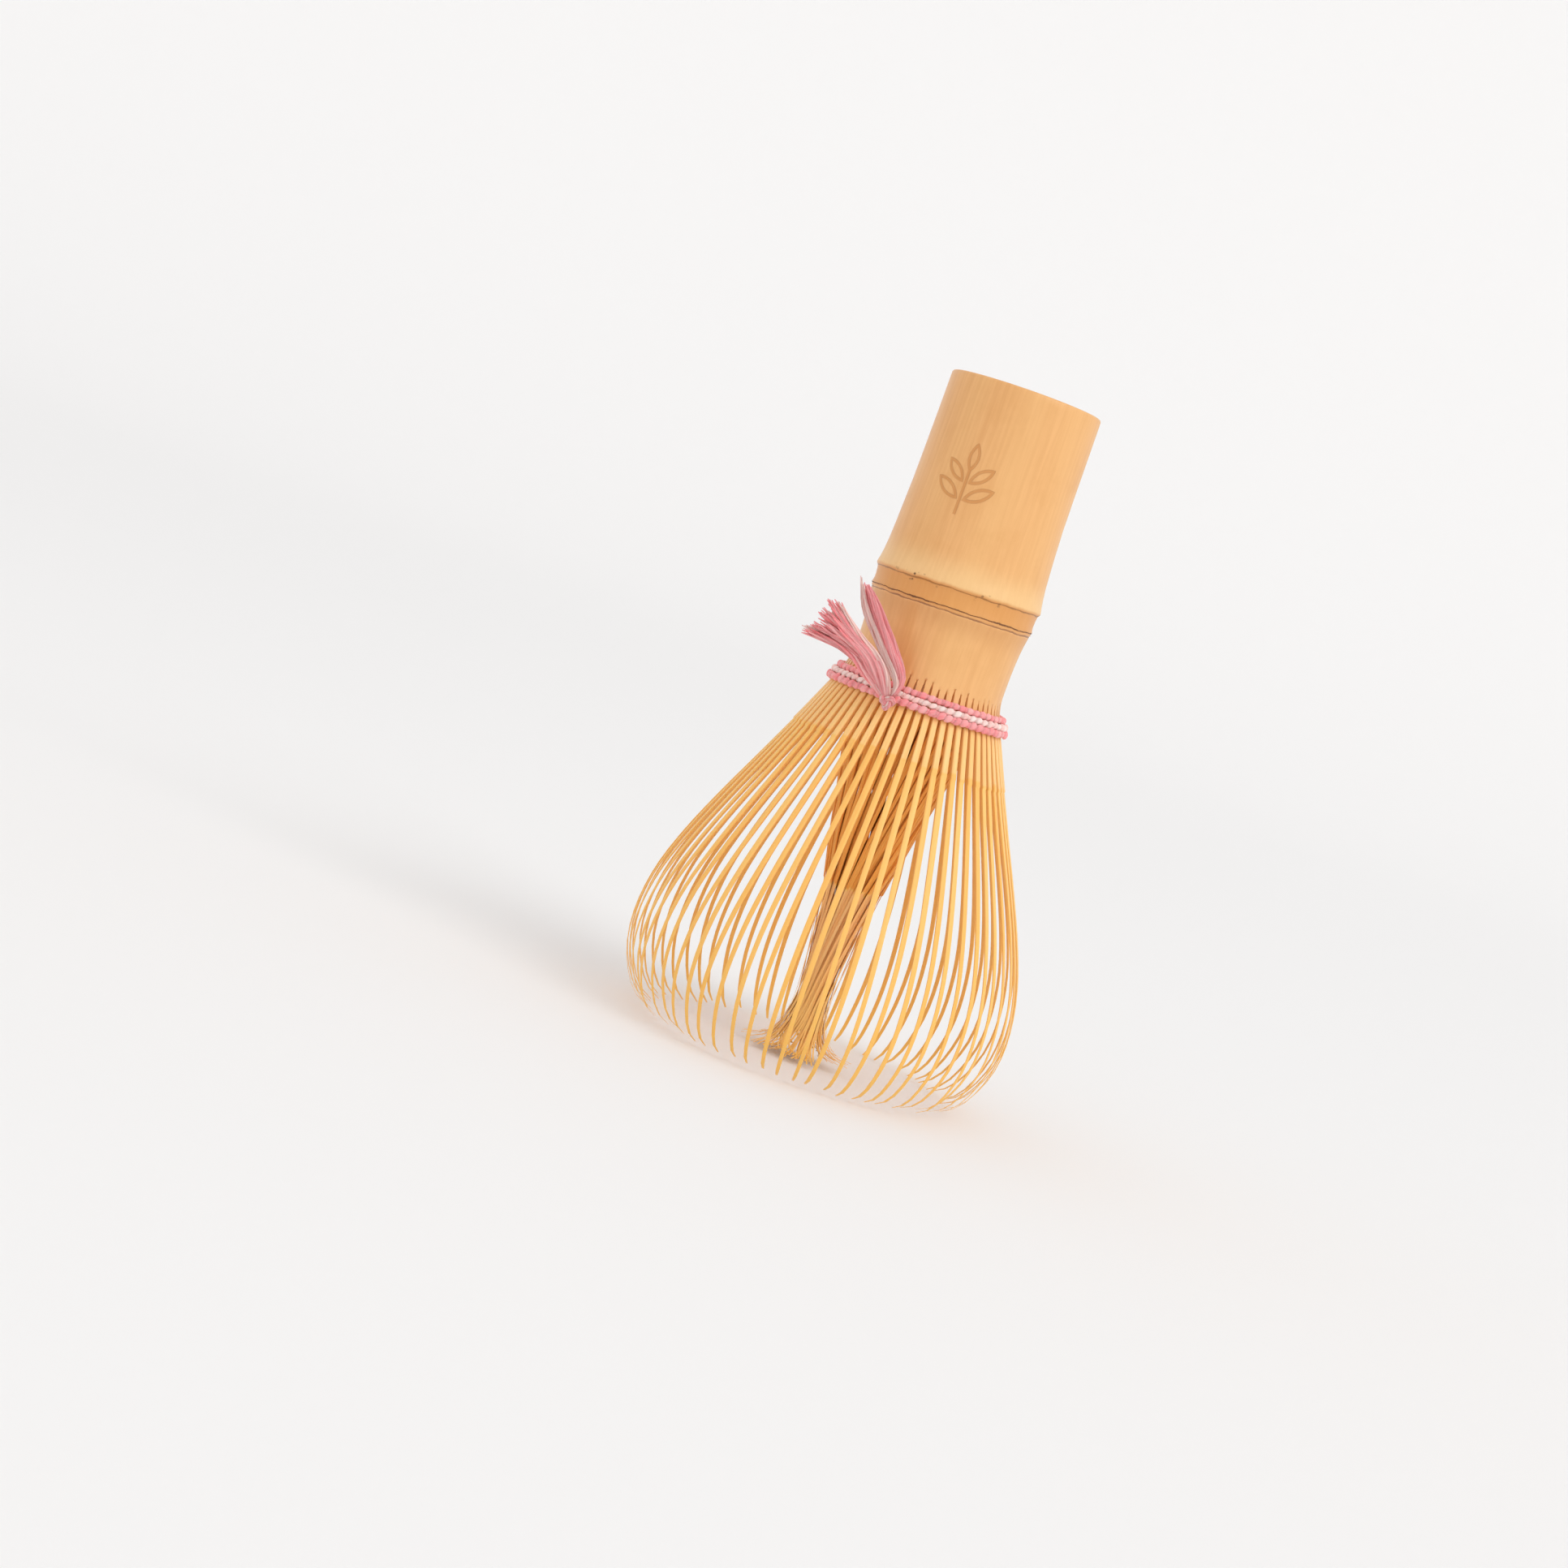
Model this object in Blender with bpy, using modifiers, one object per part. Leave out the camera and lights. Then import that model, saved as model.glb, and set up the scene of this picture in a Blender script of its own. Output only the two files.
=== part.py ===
"""Bamboo tea whisk: one length of bamboo culm whose lower end is split into two rings of tines.

Metres, +Z up. The whisk stands on the tips of its outer tines, with the handle up.
The origin is the middle of the circle of tine tips, at the height of their lowest points.
Run with: blender --background --python part.py
"""

import math

import bmesh
import bpy
from mathutils import Matrix, Vector

MM = 0.001

# Driving dimensions.
HANDLE_TOP = 107.6 * MM
HANDLE_RADIUS = 12.0 * MM
HOLLOW_RADIUS = 7.0 * MM
NODE_HEIGHT = 76.6 * MM
NODE_SWELL = 1.2 * MM
SPLIT_HEIGHT = 60.8 * MM
SPLIT_RADIUS = 12.2 * MM
SPLIT_BORE = 9.4 * MM
CAGE_RADIUS = 31.2 * MM
TIP_RADIUS = 24.6 * MM
WAIST_RADIUS = 2.4 * MM
FLARE_RADIUS = 8.5 * MM
THREAD_HEIGHT = 58.8 * MM

SPLITS = 16
TINES_PER_SPLIT = 4
GAP = 0.3 * MM

TINE_WIDTH = 0.8 * MM
TINE_ROOT_THICKNESS = 0.95 * MM
TINE_TIP_THICKNESS = 0.45 * MM
OUTER_STATIONS = 11
STRIP_THICKNESS = 0.75 * MM
STRIP_HEIGHT = 1.0 * MM

INNER_THICKNESS = 0.8 * MM
INNER_SPAN = math.radians(14)
INNER_TWIST = math.radians(-95)
INNER_STATIONS = 13
INNER_ROOT_RADIUS = 10.9 * MM
INNER_ROOT_HEIGHT = SPLIT_HEIGHT - GAP

COURSE_THICKNESS = 0.66 * MM
COURSE_RISE = 0.95 * MM
INNER_COURSE_RADIUS = 11.55 * MM
INNER_COURSE_HEIGHT = 57.4 * MM
KNOT_RADIUS = 1.0 * MM
KNOT_BEARING = math.radians(-106)
KNOT_HEIGHT = 57.2 * MM

CULM_STEPS = 40
COURSE_STEPS = 40
COURSE_SIDES = 6

# Radius and height of each meridian, from the root of the split down to the tip.
OUTER_MERIDIAN = (
    (SPLIT_RADIUS, SPLIT_HEIGHT - GAP),
    (13.4 * MM, 58.0 * MM),
    (16.6 * MM, 51.0 * MM),
    (20.4 * MM, 43.0 * MM),
    (24.1 * MM, 35.3 * MM),
    (27.4 * MM, 27.8 * MM),
    (30.0 * MM, 21.0 * MM),
    (CAGE_RADIUS, 14.5 * MM),
    (30.9 * MM, 9.2 * MM),
    (29.3 * MM, 4.6 * MM),
    (27.3 * MM, 1.5 * MM),
    (TIP_RADIUS, 0.0),
)
INNER_MERIDIAN = (
    (INNER_ROOT_RADIUS, INNER_ROOT_HEIGHT),
    (9.2 * MM, 49.5 * MM),
    (7.7 * MM, 42.0 * MM),
    (6.3 * MM, 34.2 * MM),
    (5.0 * MM, 27.6 * MM),
    (3.5 * MM, 19.0 * MM),
    (2.6 * MM, 12.5 * MM),
    (WAIST_RADIUS, 8.5 * MM),
    (3.0 * MM, 5.0 * MM),
    (5.0 * MM, 2.6 * MM),
    (FLARE_RADIUS, 1.4 * MM),
)


def clear_scene():
    """Removes everything the scene starts with."""
    for item in list(bpy.data.objects):
        bpy.data.objects.remove(item)


def finish(name, colour, roughness):
    """A plain dielectric material of one colour."""
    made = bpy.data.materials.new(name)
    made.use_nodes = True
    shader = made.node_tree.nodes["Principled BSDF"]
    shader.inputs["Base Color"].default_value = (*colour, 1.0)
    shader.inputs["Roughness"].default_value = roughness
    shader.inputs["Metallic"].default_value = 0.0
    return made


def in_collection(item, collection):
    """Links an object to one collection only."""
    for other in list(item.users_collection):
        other.objects.unlink(item)
    collection.objects.link(item)
    return item


def new_object(name, mesh, material, collection):
    """An object for a finished mesh."""
    item = bpy.data.objects.new(name, mesh)
    item.data.materials.clear()
    item.data.materials.append(material)
    collection.objects.link(item)
    return item


def smooth_line(points, count):
    """Points evenly spaced along a smooth curve through the given ones."""
    points = [Vector(p) for p in points]
    lengths = [0.0]
    for before, after in zip(points, points[1:]):
        lengths.append(lengths[-1] + (after - before).length)
    last = len(points) - 1
    slopes = []
    for i in range(last + 1):
        low, high = max(i - 1, 0), min(i + 1, last)
        slopes.append((points[high] - points[low]) / (lengths[high] - lengths[low]))
    line = []
    for k in range(count):
        along = lengths[-1] * k / (count - 1)
        i = max(j for j in range(last) if lengths[j] <= along or j == 0)
        step = lengths[i + 1] - lengths[i]
        t = (along - lengths[i]) / step
        line.append(
            points[i] * (2 * t**3 - 3 * t**2 + 1)
            + slopes[i] * (step * (t**3 - 2 * t**2 + t))
            + points[i + 1] * (3 * t**2 - 2 * t**3)
            + slopes[i + 1] * (step * (t**3 - t**2))
        )
    return line


def radius_at(meridian, height):
    """Radius of a meridian at a height, read along straight stretches."""
    for (r_high, z_high), (r_low, z_low) in zip(meridian, meridian[1:]):
        if z_low <= height <= z_high:
            return r_low + (r_high - r_low) * (height - z_low) / (z_high - z_low)
    return meridian[0][0]


def handle_culm(material, collection):
    """The handle: a culm with its node ring and the diaphragm that closes the bore at the node."""
    outside = (
        (HANDLE_RADIUS - 0.4 * MM, HANDLE_TOP),
        (HANDLE_RADIUS, HANDLE_TOP - 0.4 * MM),
        (HANDLE_RADIUS + 0.1 * MM, 95.0 * MM),
        (HANDLE_RADIUS + 0.4 * MM, 84.0 * MM),
        (HANDLE_RADIUS + 0.75 * MM, 79.0 * MM),
        (HANDLE_RADIUS + NODE_SWELL, NODE_HEIGHT),
        (HANDLE_RADIUS + 0.7 * MM, NODE_HEIGHT - 1.4 * MM),
        (HANDLE_RADIUS + 0.9 * MM, NODE_HEIGHT - 3.4 * MM),
        (HANDLE_RADIUS + 0.5 * MM, NODE_HEIGHT - 5.2 * MM),
        (HANDLE_RADIUS + 0.1 * MM, 66.0 * MM),
        (SPLIT_RADIUS, SPLIT_HEIGHT),
    )
    lower_bore = (
        (SPLIT_BORE, SPLIT_HEIGHT),
        (SPLIT_BORE - 0.3 * MM, 67.0 * MM),
        (8.2 * MM, 72.0 * MM),
        (6.0 * MM, 73.8 * MM),
        (0.0, 74.3 * MM),
    )
    upper_bore = (
        (0.0, 76.4 * MM),
        (5.2 * MM, 76.9 * MM),
        (6.7 * MM, 78.6 * MM),
        (HOLLOW_RADIUS, 82.0 * MM),
        (HOLLOW_RADIUS, HANDLE_TOP - 0.3 * MM),
        (HOLLOW_RADIUS + 0.3 * MM, HANDLE_TOP),
    )
    shape = bmesh.new()
    profile = [shape.verts.new((r, 0, z)) for r, z in upper_bore + outside + lower_bore]
    for start, end in zip(profile, profile[1:]):
        shape.edges.new((start, end))
    mesh = bpy.data.meshes.new("handle_culm")
    shape.to_mesh(mesh)
    shape.free()
    culm = new_object("handle_culm", mesh, material, collection)
    turn = culm.modifiers.new("turn", "SCREW")
    turn.axis = "Z"
    turn.angle = math.tau
    turn.steps = CULM_STEPS
    turn.render_steps = CULM_STEPS
    turn.use_merge_vertices = True
    turn.merge_threshold = 0.00001
    return culm


def tine_outline():
    """Closed outline of one outer tine in its meridian plane: down the outside, back up the inside."""
    outside = smooth_line(OUTER_MERIDIAN, OUTER_STATIONS)
    inside = []
    for i, point in enumerate(outside):
        before = outside[max(i - 1, 0)]
        after = outside[min(i + 1, len(outside) - 1)]
        along = (after - before).normalized()
        inward = Vector((along.y, -along.x))
        share = i / (len(outside) - 1)
        thickness = TINE_ROOT_THICKNESS + (TINE_TIP_THICKNESS - TINE_ROOT_THICKNESS) * share
        inside.append(point + inward * thickness)
    return outside + inside[::-1]


def tine_mesh(collection):
    """One outer tine as a closed mesh, in the XZ plane and TINE_WIDTH wide."""
    curve = bpy.data.curves.new("tine_outline", "CURVE")
    curve.dimensions = "2D"
    curve.fill_mode = "BOTH"
    curve.extrude = TINE_WIDTH / 2
    outline = tine_outline()
    spline = curve.splines.new("POLY")
    spline.points.add(len(outline) - 1)
    for slot, point in zip(spline.points, outline):
        slot.co = (point.x, point.y, 0, 1)
    spline.use_cyclic_u = True
    drawn = bpy.data.objects.new("tine_outline", curve)
    collection.objects.link(drawn)
    bpy.context.view_layer.update()
    graph = bpy.context.evaluated_depsgraph_get()
    mesh = bpy.data.meshes.new_from_object(drawn.evaluated_get(graph))
    bpy.data.objects.remove(drawn)
    shape = bmesh.new()
    shape.from_mesh(mesh)
    bmesh.ops.remove_doubles(shape, verts=shape.verts, dist=0.00001)
    bmesh.ops.rotate(shape, verts=shape.verts, matrix=Matrix.Rotation(math.pi / 2, 3, "X"))
    bmesh.ops.recalc_face_normals(shape, faces=shape.faces)
    shape.to_mesh(mesh)
    shape.free()
    return mesh


def root_strip(pitch):
    """The strip of culm wall that the tines of one split grow from, for the split on the +X side."""
    strip = bmesh.new()
    bmesh.ops.create_cube(strip, size=1.0)
    span = (TINES_PER_SPLIT - 1) * pitch
    width = 2 * SPLIT_RADIUS * math.sin(span / 2) + TINE_WIDTH - 0.1 * MM
    bmesh.ops.scale(strip, verts=strip.verts, vec=(STRIP_THICKNESS, width, STRIP_HEIGHT))
    middle = Vector((SPLIT_RADIUS - 0.55 * MM, 0, SPLIT_HEIGHT - GAP - 0.1 * MM - STRIP_HEIGHT / 2))
    bmesh.ops.translate(strip, verts=strip.verts, vec=middle)
    mesh = bpy.data.meshes.new("root_strip")
    strip.to_mesh(mesh)
    strip.free()
    return mesh


def split_mesh(hinge, helpers):
    """One split of the culm, with the point it turns about at the mesh's origin."""
    pitch = math.tau / (SPLITS * TINES_PER_SPLIT)
    body = bpy.data.objects.new("split_draft", root_strip(pitch))
    helpers.objects.link(body)
    tine = tine_mesh(helpers)
    for i in range(TINES_PER_SPLIT):
        cutter = bpy.data.objects.new(f"split_tine_{i + 1}", tine)
        cutter.rotation_euler.z = (i - (TINES_PER_SPLIT - 1) / 2) * pitch
        cutter.hide_render = True
        cutter.display_type = "WIRE"
        helpers.objects.link(cutter)
        join = body.modifiers.new(f"tine_{i + 1}", "BOOLEAN")
        join.operation = "UNION"
        join.solver = "EXACT"
        join.object = cutter
    bpy.context.view_layer.update()
    graph = bpy.context.evaluated_depsgraph_get()
    mesh = bpy.data.meshes.new_from_object(body.evaluated_get(graph))
    mesh.transform(Matrix.Translation(-hinge))
    mesh.name = "outer_tines"
    for item in list(helpers.objects):
        bpy.data.objects.remove(item)
    return mesh


def outer_tines(material, collection, helpers):
    """The sixteen splits of the outer ring. Each turns about a line through the thread band."""
    hinge = Vector((radius_at(OUTER_MERIDIAN, THREAD_HEIGHT) - TINE_ROOT_THICKNESS / 2, 0, THREAD_HEIGHT))
    mesh = split_mesh(hinge, helpers)
    for k in range(SPLITS):
        turned = Matrix.Rotation(math.tau * k / SPLITS, 3, "Z")
        split = new_object(f"outer_tines_{k + 1:02d}", mesh, material, collection)
        split.location = turned @ hinge
        split.rotation_euler = turned.to_euler()


def inner_tines(material, collection):
    """The sixteen inner splits, gathered into a twisted sheaf that flares at its tips."""
    shape = bmesh.new()
    verts = [shape.verts.new((point.x, 0, point.y)) for point in smooth_line(INNER_MERIDIAN, INNER_STATIONS)]
    edges = [shape.edges.new(pair) for pair in zip(verts, verts[1:])]
    bmesh.ops.rotate(shape, verts=verts, matrix=Matrix.Rotation(-INNER_SPAN / 2, 3, "Z"))
    bmesh.ops.spin(shape, geom=verts + edges, axis=(0, 0, 1), cent=(0, 0, 0), angle=INNER_SPAN, steps=2)
    for vert in shape.verts:
        depth = 1 - vert.co.z / INNER_ROOT_HEIGHT
        vert.co.rotate(Matrix.Rotation(INNER_TWIST * depth**2, 3, "Z"))
    mesh = bpy.data.meshes.new("inner_tines")
    shape.to_mesh(mesh)
    shape.free()
    for k in range(SPLITS):
        split = new_object(f"inner_tines_{k + 1:02d}", mesh, material, collection)
        split.rotation_euler.z = math.tau * (k + 0.5) / SPLITS
        wall = split.modifiers.new("wall", "SOLIDIFY")
        wall.thickness = INNER_THICKNESS
        wall.offset = -1


def thread_course(name, major_radius, height, material, collection):
    """One turn of the binding thread."""
    bpy.ops.mesh.primitive_torus_add(
        major_radius=major_radius,
        minor_radius=COURSE_THICKNESS / 2,
        major_segments=COURSE_STEPS,
        minor_segments=COURSE_SIDES,
        location=(0, 0, height),
    )
    course = in_collection(bpy.context.active_object, collection)
    course.name = name
    course.data.materials.append(material)
    return course


def thread_band(material, collection):
    """Three courses outside the outer tines and one between the outer and the inner tines."""
    stand_off = GAP + COURSE_THICKNESS / 2 + 0.05 * MM
    for name, rise in (("upper", COURSE_RISE), ("middle", 0.0), ("lower", -COURSE_RISE)):
        height = THREAD_HEIGHT + rise
        radius = radius_at(OUTER_MERIDIAN, height) + stand_off
        thread_course(f"thread_{name}_course", radius, height, material, collection)
    thread_course("thread_inner_course", INNER_COURSE_RADIUS, INNER_COURSE_HEIGHT, material, collection)


def knot_centre():
    """Middle of the knot, in front of the lower course."""
    radius = radius_at(OUTER_MERIDIAN, THREAD_HEIGHT - COURSE_RISE) + COURSE_THICKNESS + 2 * GAP + KNOT_RADIUS
    return Vector((radius * math.cos(KNOT_BEARING), radius * math.sin(KNOT_BEARING), KNOT_HEIGHT))


def thread_knot(material, collection):
    """The knot that ties the two ends of the thread."""
    shape = bmesh.new()
    bmesh.ops.create_uvsphere(shape, u_segments=12, v_segments=8, radius=KNOT_RADIUS)
    mesh = bpy.data.meshes.new("thread_knot")
    shape.to_mesh(mesh)
    shape.free()
    knot = new_object("thread_knot", mesh, material, collection)
    knot.location = knot_centre()
    return knot


def tassel(name, route, radii, material, collection):
    """One frayed end of the thread: a tapered tuft that leaves the knot along a short curved route."""
    knot = knot_centre()
    route = [Vector(point) * MM for point in route]
    start = knot + (route[0] - knot).normalized() * (KNOT_RADIUS + GAP)
    curve = bpy.data.curves.new(name, "CURVE")
    curve.dimensions = "3D"
    curve.bevel_depth = MM
    curve.bevel_resolution = 1
    curve.use_fill_caps = True
    curve.materials.append(material)
    spline = curve.splines.new("POLY")
    spline.points.add(len(radii) - 1)
    for slot, point, radius in zip(spline.points, smooth_line([start] + route, len(radii)), radii):
        slot.co = (*point, 1)
        slot.radius = radius
    tuft = bpy.data.objects.new(name, curve)
    collection.objects.link(tuft)
    return tuft


def tassels(material, collection):
    """The two free ends: one fans out to the side, the other stands up beside the culm."""
    side_route = ((-7.6, -16.4, 59.9), (-11.8, -16.2, 62.4), (-18.8, -15.4, 65.8))
    side_radii = (0.6, 0.95, 1.35, 1.75, 2.05, 2.2)
    tassel("tassel_side", side_route, side_radii, material, collection)
    upright_route = ((-4.8, -15.9, 61.2), (-8.6, -15.4, 66.4), (-14.1, -14.6, 73.4))
    upright_radii = (0.55, 0.85, 1.05, 1.0, 0.8, 0.35)
    tassel("tassel_upright", upright_route, upright_radii, material, collection)


def shade(collection):
    """Smooth shading with sharp edges kept, on the round pieces."""
    for item in collection.objects:
        if item.type == "MESH":
            item.data.shade_smooth()
            item.data.set_sharp_from_angle(angle=math.radians(40))


def main():
    clear_scene()
    scene_collection = bpy.context.scene.collection
    whisk = bpy.data.collections.new("tea_whisk")
    helpers = bpy.data.collections.new("tea_whisk_helpers")
    scene_collection.children.link(whisk)
    scene_collection.children.link(helpers)

    skin = finish("bamboo_skin", (0.80, 0.56, 0.28), 0.38)
    split_bamboo = finish("split_bamboo", (0.86, 0.56, 0.22), 0.45)
    inner_bamboo = finish("inner_bamboo", (0.66, 0.34, 0.10), 0.5)
    thread = finish("pink_thread", (0.90, 0.42, 0.52), 0.8)

    handle_culm(skin, whisk)
    outer_tines(split_bamboo, whisk, helpers)
    inner_tines(inner_bamboo, whisk)
    thread_band(thread, whisk)
    thread_knot(thread, whisk)
    tassels(thread, whisk)
    shade(whisk)


main()
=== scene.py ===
"""Bamboo tea whisk: the looks of its culm, tines and thread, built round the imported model."""

import math
import random

import bmesh
import bpy
from mathutils import Matrix, Quaternion, Vector, noise


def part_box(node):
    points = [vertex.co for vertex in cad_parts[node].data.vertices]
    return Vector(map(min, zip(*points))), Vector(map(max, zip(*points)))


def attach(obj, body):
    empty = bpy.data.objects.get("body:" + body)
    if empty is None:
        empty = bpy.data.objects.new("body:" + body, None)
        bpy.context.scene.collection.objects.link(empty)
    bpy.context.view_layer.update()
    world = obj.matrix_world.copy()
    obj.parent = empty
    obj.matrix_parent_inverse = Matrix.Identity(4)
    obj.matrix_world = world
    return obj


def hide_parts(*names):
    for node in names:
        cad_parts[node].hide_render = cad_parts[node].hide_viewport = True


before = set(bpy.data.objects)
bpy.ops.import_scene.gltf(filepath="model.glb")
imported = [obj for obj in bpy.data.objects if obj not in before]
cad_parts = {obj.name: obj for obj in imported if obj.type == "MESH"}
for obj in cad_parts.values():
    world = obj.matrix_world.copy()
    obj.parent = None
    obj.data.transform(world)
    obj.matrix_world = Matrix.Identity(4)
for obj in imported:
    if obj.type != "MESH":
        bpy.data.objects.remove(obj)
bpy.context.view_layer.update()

MM = 0.001  # The scene is in metres. Sections, lines and strands are written in mm and scaled.
SPLITS = 16
TINES_PER_SPLIT = 4
TINES = SPLITS * TINES_PER_SPLIT
PITCH = math.tau / TINES
INNER_PER_SPLIT = 9

HANDLE_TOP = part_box("handle_culm")[1].z
KNOT = (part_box("thread_knot")[0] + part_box("thread_knot")[1]) / 2

# The culm. Slits rise from its foot to a height between the two SLIT_TOPS.
COLUMNS_PER_TINE = 6
CULM_FOOT = 59.2
SLIT_ROWS = (CULM_FOOT, 60.2, 60.6, 61.0, 61.4, 61.8, 62.3, 63.0)
SLIT_TOPS = (61.3, 62.0)
SLIT_FLOOR = 11.25 * MM
RECESS_RADIUS = 11.2 * MM
SKIN_FROM = 11.6 * MM
WARP_FROM = 11.3 * MM
SKIN_RADIUS = 12.05
NODE_MIDDLE = 75.0 * MM
NODE_RIDGE = 76.25 * MM
DARK_LINE = 73.46 * MM
SECOND_LINE = 72.84 * MM
SPRIG_HEIGHT = 91.2 * MM
SPRIG_BEARING = 0.363

# The tines. A line is (radius, height) from root to tip. A step is the share of the way along
# where the wood is shaved thinner.
TINE_LENGTH = 62 * MM
SHAVED_DEPTH = 0.13 * MM
RINGS_TO_STEP = 5
STEP_GAP = 0.004
FLOOR_GAP = 0.02 * MM
SKIN_STEP = 0.16
OUTER_LINE = (
    (12.78, 59.1),
    (13.4, 58.0),
    (16.6, 51.0),
    (20.4, 43.0),
    (24.1, 35.3),
    (27.4, 27.8),
    (29.7, 21.0),
    (30.7, 14.5),
    (30.4, 9.2),
    (28.8, 4.6),
    (26.8, 1.6),
    (24.5, 0.15),
)
INNER_LENGTH = 66 * MM
INNER_STEP = 0.545
INNER_TWIST = math.radians(-95)
INNER_LINE = (
    (10.9, 63.3),
    (10.6, 59.0),
    (9.2, 49.5),
    (7.7, 42.0),
    (6.3, 34.2),
    (5.0, 27.6),
    (4.0, 19.0),
    (3.3, 12.5),
    (3.2, 8.5),
    (4.0, 5.0),
    (5.9, 2.4),
    (8.8, 1.3),
)

# The thread. Radii are given at shares of the way along a strand, and no strand runs just the
# way of STRAND_SIDE, so each one can be turned to it.
STRAND_SIDE = Vector((0.2, 1.0, 0.1))
FIBRE_RADII = ((0, 0.22), (0.7, 0.2), (0.93, 0.15), (1, 0.08))
KNOT_SCALE = 0.33
KNOT_PLIES = 5
KNOT_RADII = ((0, 0.24), (1, 0.24))
INNER_PLIES = 3
INNER_PLY_TURNS = 30
INNER_PLY_REACH = 0.17 * MM
INNER_RADII = ((0, 0.18), (1, 0.18))

# The studio.
CAMERA_PLACE = Vector((0, -447.8, 74.7)) * MM
CAMERA_TARGET = Vector((-15.2, 0, 39.4)) * MM
CAMERA_ROLL = math.radians(19.4)
CAMERA_LENS = 67.08

ROOM_LIGHT = 0.8
KEY_PLACE = Vector((2.4, -2.0, 3.0))
KEY_SIZE = (2.4, 2.4)
KEY_POWER = 56
KEY_COLOUR = (1.0, 0.99, 0.975)
FLOOR_GLOW = 0.06
FLOOR_FLAT = 1.5
COVE_RADIUS = 1.2
COVE_STEPS = 16


def tint(red, green, blue):
    """A display colour, 0 to 255, as the linear colour that shaders take."""
    levels = [channel / 255 for channel in (red, green, blue)]
    return (*[c / 12.92 if c <= 0.04045 else ((c + 0.055) / 1.055) ** 2.4 for c in levels], 1.0)


# Shader nodes.


class Tree:
    """Adds nodes to a material or a node group and joins them."""

    def __init__(self, tree):
        self.nodes = tree.nodes
        self.links = tree.links

    def add(self, kind, inputs=None, **settings):
        node = self.nodes.new("ShaderNode" + kind)
        for name, value in settings.items():
            setattr(node, name, value)
        for name, value in (inputs or {}).items():
            self.feed(node.inputs[name], value)
        return node

    def feed(self, socket, value):
        if isinstance(value, bpy.types.NodeSocket):
            self.links.new(value, socket)
        else:
            socket.default_value = value

    def math(self, operation, *values):
        return self.add("Math", dict(enumerate(values)), operation=operation).outputs[0]

    def vector(self, operation, *values):
        node = self.add("VectorMath", dict(enumerate(values)), operation=operation)
        return node.outputs["Value"] if operation in ("LENGTH", "DISTANCE") else node.outputs[0]

    def axes(self, vector):
        return self.add("SeparateXYZ", {0: vector}).outputs

    def ramp(self, value, low, high, out_low=0.0, out_high=1.0):
        inputs = {0: value, 1: low, 2: high, 3: out_low, 4: out_high}
        return self.add("MapRange", inputs, interpolation_type="SMOOTHSTEP").outputs[0]

    def mix(self, factor, before, after):
        node = self.add("Mix", data_type="RGBA")
        self.feed(node.inputs[0], factor)
        self.feed(node.inputs[6], before)
        self.feed(node.inputs[7], after)
        return node.outputs[2]

    def band(self, value, rise, fall):
        """One between two soft edges, each given as where it is lowest and where it is highest."""
        return self.math("MULTIPLY", self.ramp(value, *rise), self.ramp(value, *fall))

    def stain(self, base, mask, strength, colour):
        """Lays a colour over the base where the mask says."""
        return self.mix(self.math("MULTIPLY", mask, strength), base, colour)

    def dots(self, vector, scale, randomness=1.0):
        """How far each point is from the nearest of many scattered dots."""
        inputs = {"Vector": vector, "Scale": scale, "Randomness": randomness}
        return self.add("TexVoronoi", inputs).outputs["Distance"]

    def noise(self, vector, scale, detail=3.0, roughness=0.5):
        inputs = {"Vector": vector, "Scale": scale, "Detail": detail, "Roughness": roughness}
        return self.add("TexNoise", inputs).outputs[0]

    def attribute(self, name, output="Vector"):
        return self.add("Attribute", attribute_name=name).outputs[output]

    def group(self, group, **inputs):
        node = self.add("Group", node_tree=group)
        for name, value in inputs.items():
            self.feed(node.inputs[name.replace("_", " ").capitalize()], value)
        return node.outputs


def new_group(name, inputs, outputs):
    """An empty node group. Returns it, its tree, its input sockets and its end node."""
    group = bpy.data.node_groups.new(name, "ShaderNodeTree")
    for label, kind in inputs:
        group.interface.new_socket(name=label, in_out="INPUT", socket_type="NodeSocket" + kind)
    for label, kind in outputs:
        group.interface.new_socket(name=label, in_out="OUTPUT", socket_type="NodeSocket" + kind)
    start = group.nodes.new("NodeGroupInput")
    end = group.nodes.new("NodeGroupOutput")
    return group, Tree(group), start.outputs, end


def fibre_group():
    """Long bamboo fibres: fine streaks, broad soft bands and a height, all along the third axis."""
    group, tree, given, end = new_group(
        "bamboo fibre",
        [("Place", "Vector"), ("Fineness", "Float"), ("Slimness", "Float")],
        [("Streaks", "Float"), ("Bands", "Float"), ("Height", "Float")],
    )
    stretch = tree.add("CombineXYZ", {0: 1.0, 1: 1.0, 2: given["Slimness"]}).outputs[0]
    place = tree.vector("MULTIPLY", given["Place"], stretch)
    fine = tree.noise(place, given["Fineness"], detail=5.0, roughness=0.65)
    finer = tree.noise(place, tree.math("MULTIPLY", given["Fineness"], 3.1), detail=2.0)
    broad = tree.noise(place, tree.math("MULTIPLY", given["Fineness"], 0.13), detail=2.0)
    tree.feed(end.inputs["Streaks"], tree.ramp(fine, 0.3, 0.7))
    tree.feed(end.inputs["Bands"], tree.ramp(broad, 0.32, 0.68))
    height = tree.math("MULTIPLY_ADD", finer, 0.45, tree.math("MULTIPLY", fine, 0.55))
    tree.feed(end.inputs["Height"], height)
    return group


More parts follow.
